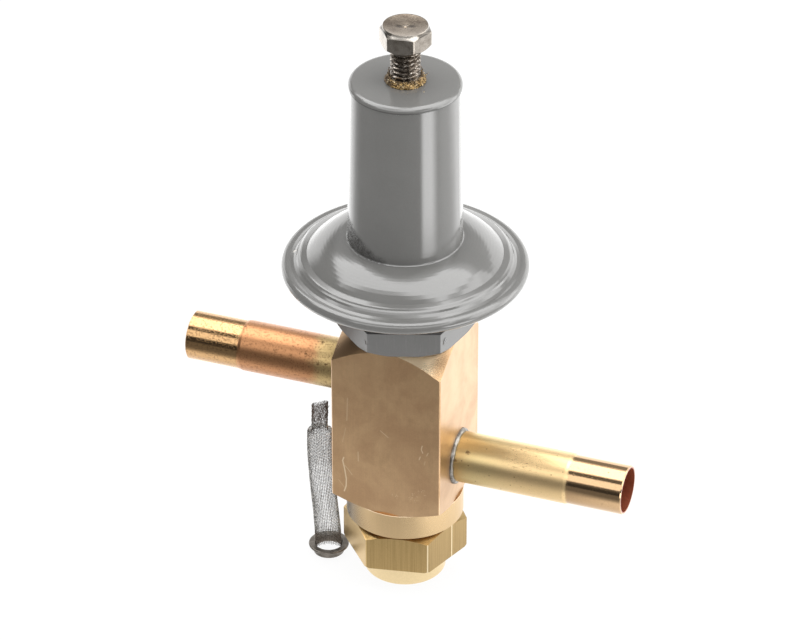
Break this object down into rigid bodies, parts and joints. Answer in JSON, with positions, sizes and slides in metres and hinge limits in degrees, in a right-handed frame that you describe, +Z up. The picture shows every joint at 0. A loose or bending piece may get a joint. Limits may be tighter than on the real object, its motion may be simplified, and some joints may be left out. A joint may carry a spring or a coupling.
{
  "type": "crankcase pressure regulator",
  "caption": "Crankcase pressure regulator: spring housing with a hex adjusting screw over a square brass body, copper stubs at its sides, a hex cap below and its mesh strainer beside it.",
  "frame": {"origin": "centre of the bottom cap's flat round end, on the valve's axis", "axes": "+Z up the valve's axis to the adjusting screw, +X along the low inlet stub, -X along the high outlet stub, -Y out of the front face"},
  "size_m": [0.1457, 0.0772, 0.1984],
  "materials": {
    "brass": "turned and dulled",
    "cap_brass": "turned",
    "copper": "drawn copper with a brassy heat stain at the body",
    "braze": "silver braze, bright",
    "enamel": "grey gloss enamel",
    "housing_paint": "bluish grey enamel",
    "fibre": "pressed fibre sheet",
    "rubber": "moulded",
    "steel": "machined",
    "spring_steel": "oiled spring wire",
    "screw_steel": "nickel plated and worn",
    "bush_brass": "rough, with turnings on it",
    "ring_steel": "turned",
    "mesh_steel": "woven wire"
  },
  "bodies": {
    "root": {"body": "brass", "bottom_cap": "cap_brass", "cap_gasket": "fibre", "inlet_tube": "copper", "outlet_tube": "copper", "inlet_braze_ring": "braze", "outlet_braze_ring": "braze", "seat_ring": "steel", "stem_guide": "brass", "housing_gasket": "fibre", "lower_housing": "housing_paint", "diaphragm_gasket": "fibre", "diaphragm": "steel", "bonnet": "enamel", "screw_bush": "bush_brass", "closing_spring": "steel", "range_spring": "spring_steel", "strainer_ring": "ring_steel", "strainer_sock": "mesh_steel"},
    "valve_train": {"push_rod": "steel", "thrust_plate": "steel", "buffer_plate": "steel", "valve_plug": "brass", "seal_disc": "rubber", "seal_nut": "brass"},
    "spring_button": {"upper_spring_seat": "steel", "thrust_ball": "steel"},
    "screw": {"adjusting_screw": "screw_steel"}
  },
  "joints": [
    {"name": "button_travel", "type": "slide", "parent": "root", "child": "spring_button", "axis": [0, 0, 1], "range_m": [-0.00857, 0.00317], "deforming": ["range_spring"]},
    {"name": "screw_turn", "type": "hinge", "parent": "spring_button", "child": "screw", "pos_m": [0, 0, 0.18], "axis": [0, 0, 1], "range_deg": [-1945, 721]},
    {"name": "valve_stroke", "type": "slide", "parent": "root", "child": "valve_train", "axis": [0, 0, 1], "range_m": [0, 0.0018], "stiffness_N_per_m": 3000, "springref_m": -0.002, "deforming": ["closing_spring", "diaphragm"]}
  ],
  "couplings": [
    {"joint": "screw_turn", "follows": "button_travel", "rad_per_m": 3957.9}
  ]
}
